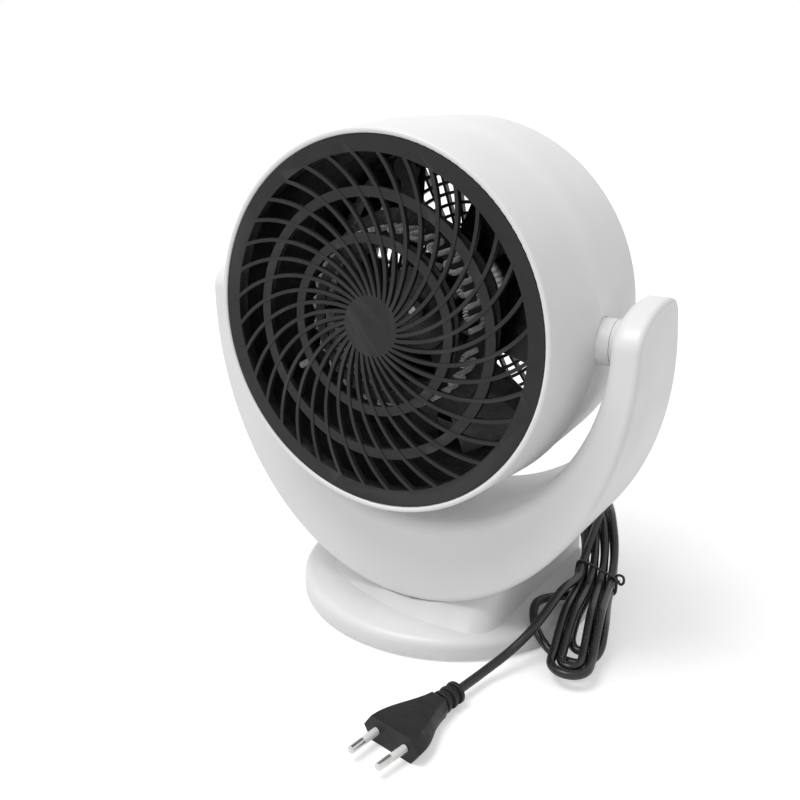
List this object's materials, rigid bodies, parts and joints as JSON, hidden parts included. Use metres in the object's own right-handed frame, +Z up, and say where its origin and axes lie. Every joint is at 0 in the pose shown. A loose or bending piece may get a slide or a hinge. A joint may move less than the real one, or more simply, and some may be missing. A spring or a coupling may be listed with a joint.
{
  "type": "fan heater",
  "caption": "Round fan heater: a drum with a swept-rib grille tilts in a crescent yoke on a round weighted base, with its mains lead tied in a hank and a flat plug.",
  "frame": {"origin": "on the floor under the centre of the round base", "axes": "+Z up, the grille faces -Y, +X to the viewer's right"},
  "size_m": [0.274, 0.3274, 0.297],
  "materials": {
    "white_plastic": "satin moulded plastic",
    "black_plastic": "fine satin black plastic",
    "grey_plastic": "plain moulded plastic",
    "cord_jacket": "smooth flexible jacket",
    "foot_rubber": "matt",
    "iron": "bare casting",
    "steel": "zinc plated",
    "heating_wire": "resistance wire, slightly bright",
    "mica": "pressed mica and ceramic",
    "pale_nylon": "natural nylon",
    "brass": "plated",
    "tie_wire": "coated wire"
  },
  "bodies": {
    "stand": {"base_shell": "white_plastic", "base_plate": "grey_plastic", "base_screws": "steel", "saddle_screws": "steel", "rubber_feet": "foot_rubber", "ballast_weight": "iron", "yoke_shell": "white_plastic", "yoke_rear_cover": "white_plastic", "yoke_cover_screws": "steel", "pivot_pins": "steel", "friction_washers": "pale_nylon", "selector_switch": "black_plastic", "cord_gland": "black_plastic", "cord_lead": "cord_jacket", "cord_hank": "cord_jacket", "cord_tie": "tie_wire", "plug_lead": "cord_jacket", "plug_relief": "black_plastic", "plug_body": "black_plastic", "plug_prongs": "brass", "plug_sleeves": "pale_nylon"},
    "head": {"front_housing": "white_plastic", "rear_housing": "white_plastic", "air_duct": "black_plastic", "front_grille": "black_plastic", "rear_grille": "black_plastic", "rear_grille_screws": "steel", "head_trunnions": "white_plastic", "motor_can": "steel", "motor_end_cap": "steel", "motor_front_bearing": "brass", "motor_rear_bearing": "brass", "motor_stator": "steel", "heater_mica_front": "mica", "heater_mica_rear": "mica", "heater_posts": "mica", "heater_coil": "heating_wire", "heater_bracket": "steel", "thermal_cutout": "steel", "thermal_fuse": "pale_nylon"},
    "fan": {"fan_impeller": "black_plastic", "fan_nut": "black_plastic", "motor_shaft": "steel", "motor_rotor": "steel"},
    "selector": {"selector_knob": "white_plastic", "selector_spindle": "steel"}
  },
  "joints": [
    {"name": "head_tilt", "type": "hinge", "parent": "stand", "child": "head", "pos_m": [0, -0.0315, 0.185], "axis": [-1, 0, 0], "range_deg": [-15, 90]},
    {"name": "fan_spin", "type": "hinge", "parent": "head", "child": "fan", "pos_m": [0, -0.0315, 0.19], "axis": [0, 1, 0], "continuous": true},
    {"name": "selector_turn", "type": "hinge", "parent": "stand", "child": "selector", "pos_m": [0, 0.059, 0.0364], "axis": [0, 0, -1], "range_deg": [0, 135]}
  ]
}
